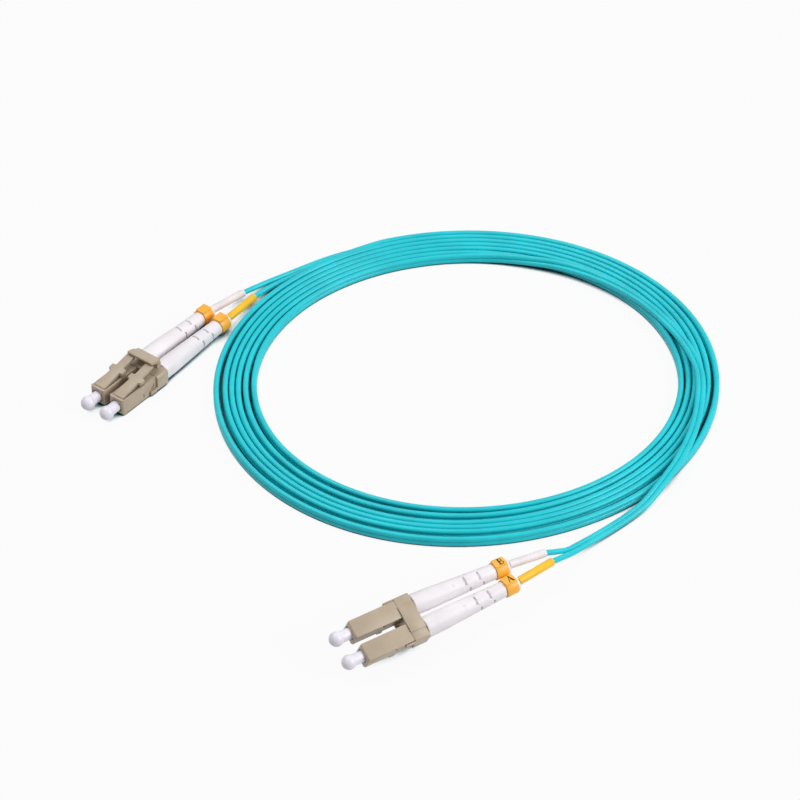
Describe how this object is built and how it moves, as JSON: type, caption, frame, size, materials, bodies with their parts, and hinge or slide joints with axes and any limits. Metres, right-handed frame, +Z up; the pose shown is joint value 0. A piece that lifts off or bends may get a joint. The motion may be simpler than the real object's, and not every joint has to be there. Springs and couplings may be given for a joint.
{
  "type": "fiber optic patch cord",
  "caption": "Duplex multimode fiber patch cord, LC to LC: aqua zip cord in a flat coil of six turns, beige clipped plugs with white boots, dust caps and yellow rings",
  "frame": {"origin": "Centre of the underside of the far connector's duplex clip, which rests on the table", "axes": "X across the coil towards the viewer's right, Y away from the viewer across the coil, Z up"},
  "size_m": [0.1613, 0.1697, 0.0117],
  "materials": {
    "housing": "satin",
    "ceramic": "polished",
    "steel": "satin",
    "buffer": "satin",
    "boot_white": "satin",
    "ring_orange": "satin",
    "cap_white": "satin",
    "sleeve_white": "satin",
    "sleeve_yellow": "satin",
    "jacket_aqua": "satin"
  },
  "bodies": {
    "cord_and_plugs": {"near_a_front_housing": "housing", "near_a_rear_body": "housing", "near_a_crimp_sleeve": "steel", "near_a_buffer": "buffer", "near_a_boot": "boot_white", "near_a_polarity_ring": "ring_orange", "near_a_marker_sleeve": "sleeve_yellow", "near_a_leg": "jacket_aqua", "near_b_front_housing": "housing", "near_b_rear_body": "housing", "near_b_crimp_sleeve": "steel", "near_b_buffer": "buffer", "near_b_boot": "boot_white", "near_b_polarity_ring": "ring_orange", "near_b_marker_sleeve": "sleeve_white", "near_b_leg": "jacket_aqua", "far_a_front_housing": "housing", "far_a_rear_body": "housing", "far_a_crimp_sleeve": "steel", "far_a_buffer": "buffer", "far_a_boot": "boot_white", "far_a_polarity_ring": "ring_orange", "far_a_marker_sleeve": "sleeve_yellow", "far_a_leg": "jacket_aqua", "far_b_front_housing": "housing", "far_b_rear_body": "housing", "far_b_crimp_sleeve": "steel", "far_b_buffer": "buffer", "far_b_boot": "boot_white", "far_b_polarity_ring": "ring_orange", "far_b_marker_sleeve": "sleeve_white", "far_b_leg": "jacket_aqua", "near_clip": "housing", "far_clip": "housing", "coil": "jacket_aqua", "near_lead": "jacket_aqua", "far_lead": "jacket_aqua"},
    "near_trigger_lever": {"near_trigger": "housing"},
    "near_a_latch_arm": {"near_a_latch": "housing"},
    "near_a_ferrule_unit": {"near_a_ferrule": "ceramic", "near_a_flange": "steel", "near_a_spring": "steel"},
    "near_a_cap": {"near_a_dust_cap": "cap_white"},
    "near_b_latch_arm": {"near_b_latch": "housing"},
    "near_b_ferrule_unit": {"near_b_ferrule": "ceramic", "near_b_flange": "steel", "near_b_spring": "steel"},
    "near_b_cap": {"near_b_dust_cap": "cap_white"},
    "far_trigger_lever": {"far_trigger": "housing"},
    "far_a_latch_arm": {"far_a_latch": "housing"},
    "far_a_ferrule_unit": {"far_a_ferrule": "ceramic", "far_a_flange": "steel", "far_a_spring": "steel"},
    "far_a_cap": {"far_a_dust_cap": "cap_white"},
    "far_b_latch_arm": {"far_b_latch": "housing"},
    "far_b_ferrule_unit": {"far_b_ferrule": "ceramic", "far_b_flange": "steel", "far_b_spring": "steel"},
    "far_b_cap": {"far_b_dust_cap": "cap_white"}
  },
  "joints": [
    {"name": "near_trigger_press", "type": "hinge", "parent": "cord_and_plugs", "child": "near_trigger_lever", "pos_m": [0.06734, -0.09492, 0.00388], "axis": [-0.4742, 0.735, 0.4846], "range_deg": [0, 16], "stiffness_Nm_per_rad": 0.002},
    {"name": "near_a_latch_flex", "type": "hinge", "parent": "cord_and_plugs", "child": "near_a_latch_arm", "pos_m": [0.05645, -0.10569, 0.00312], "axis": [-0.4742, 0.735, 0.4846], "range_deg": [-5.2, 0]},
    {"name": "near_a_ferrule_spring", "type": "slide", "parent": "cord_and_plugs", "child": "near_a_ferrule_unit", "axis": [0.8478, 0.5297, 0.0262], "range_m": [0, 0.0008], "stiffness_N_per_m": 500},
    {"name": "near_a_cap_pull", "type": "slide", "parent": "cord_and_plugs", "child": "near_a_cap", "axis": [-0.8478, -0.5297, -0.0262], "range_m": [0, 0.01]},
    {"name": "near_b_latch_flex", "type": "hinge", "parent": "cord_and_plugs", "child": "near_b_latch_arm", "pos_m": [0.05349, -0.10109, 0.00614], "axis": [-0.4742, 0.735, 0.4846], "range_deg": [-5.2, 0]},
    {"name": "near_b_ferrule_spring", "type": "slide", "parent": "cord_and_plugs", "child": "near_b_ferrule_unit", "axis": [0.8478, 0.5297, 0.0262], "range_m": [0, 0.0008], "stiffness_N_per_m": 500},
    {"name": "near_b_cap_pull", "type": "slide", "parent": "cord_and_plugs", "child": "near_b_cap", "axis": [-0.8478, -0.5297, -0.0262], "range_m": [0, 0.01]},
    {"name": "far_trigger_press", "type": "hinge", "parent": "cord_and_plugs", "child": "far_trigger_lever", "pos_m": [0.00084, 0.00106, 0.0062], "axis": [0.788, -0.6157, 0], "range_deg": [0, 16], "stiffness_Nm_per_rad": 0.002},
    {"name": "far_a_latch_flex", "type": "hinge", "parent": "cord_and_plugs", "child": "far_a_latch_arm", "pos_m": [-0.0059, -0.01265, 0.0049], "axis": [0.788, -0.6157, 0], "range_deg": [-5.2, 0]},
    {"name": "far_a_ferrule_spring", "type": "slide", "parent": "cord_and_plugs", "child": "far_a_ferrule_unit", "axis": [0.6157, 0.788, 0], "range_m": [0, 0.0008], "stiffness_N_per_m": 500},
    {"name": "far_a_cap_pull", "type": "slide", "parent": "cord_and_plugs", "child": "far_a_cap", "axis": [-0.6157, -0.788, 0], "range_m": [0, 0.01]},
    {"name": "far_b_latch_flex", "type": "hinge", "parent": "cord_and_plugs", "child": "far_b_latch_arm", "pos_m": [-0.01082, -0.0088, 0.0049], "axis": [0.788, -0.6157, 0], "range_deg": [-5.2, 0]},
    {"name": "far_b_ferrule_spring", "type": "slide", "parent": "cord_and_plugs", "child": "far_b_ferrule_unit", "axis": [0.6157, 0.788, 0], "range_m": [0, 0.0008], "stiffness_N_per_m": 500},
    {"name": "far_b_cap_pull", "type": "slide", "parent": "cord_and_plugs", "child": "far_b_cap", "axis": [-0.6157, -0.788, 0], "range_m": [0, 0.01]}
  ],
  "couplings": [
    {"joint": "near_a_latch_flex", "follows": "near_trigger_press", "ratio": -0.28},
    {"joint": "near_b_latch_flex", "follows": "near_trigger_press", "ratio": -0.28},
    {"joint": "far_a_latch_flex", "follows": "far_trigger_press", "ratio": -0.28},
    {"joint": "far_b_latch_flex", "follows": "far_trigger_press", "ratio": -0.28}
  ]
}
